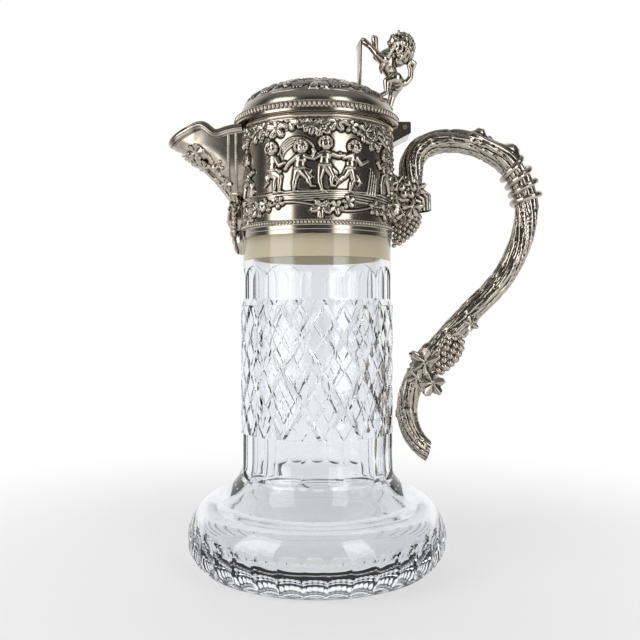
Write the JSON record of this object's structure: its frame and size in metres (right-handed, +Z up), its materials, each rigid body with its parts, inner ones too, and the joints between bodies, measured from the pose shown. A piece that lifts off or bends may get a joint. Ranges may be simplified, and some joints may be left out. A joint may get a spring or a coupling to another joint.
{
  "type": "claret jug",
  "caption": "Cut crystal claret jug with an antique silver plated collar, lip spout, hinged domed lid with a lion thumbpiece, and a cast vine branch handle.",
  "frame": {"origin": "centre of the foot, on the surface that the jug stands on", "axes": "+Z up the bottle, -X towards the spout, +X towards the handle and hinge"},
  "size_m": [0.2044, 0.1392, 0.29],
  "materials": {
    "cut_crystal": "clear polished cut crystal",
    "silver_plate": "antique silver plate with darkened recesses",
    "bedding_plaster": "matt cream plaster seen through the glass",
    "steel_pin": "plain turned hinge pin"
  },
  "bodies": {
    "jug": {"glass_body": "cut_crystal", "neck_cement": "bedding_plaster", "neck_sleeve": "silver_plate", "collar_shell": "silver_plate", "collar_bead_wire": "silver_plate", "collar_mouth_wire": "silver_plate", "spout_shell": "silver_plate", "spout_lip_wire": "silver_plate", "spout_keel_ornament": "silver_plate", "spout_mask": "silver_plate", "hinge_bracket": "silver_plate", "hinge_pin": "steel_pin", "handle_root_casting": "silver_plate", "handle_root_grapes": "silver_plate", "handle_branch": "silver_plate", "handle_tendril": "silver_plate", "handle_grapes": "silver_plate", "handle_vine_leaves": "silver_plate"},
    "lid": {"lid_dome": "silver_plate", "lid_bead_rim": "silver_plate", "lid_bezel": "silver_plate", "lid_hinge_leaf": "silver_plate", "thumbpiece_plinth": "silver_plate", "lion_figure": "silver_plate", "lion_shield": "silver_plate"}
  },
  "joints": [
    {"name": "lid_hinge", "type": "hinge", "parent": "jug", "child": "lid", "pos_m": [0.0469, 0, 0.2359], "axis": [0, 1, 0], "range_deg": [0, 72]}
  ]
}
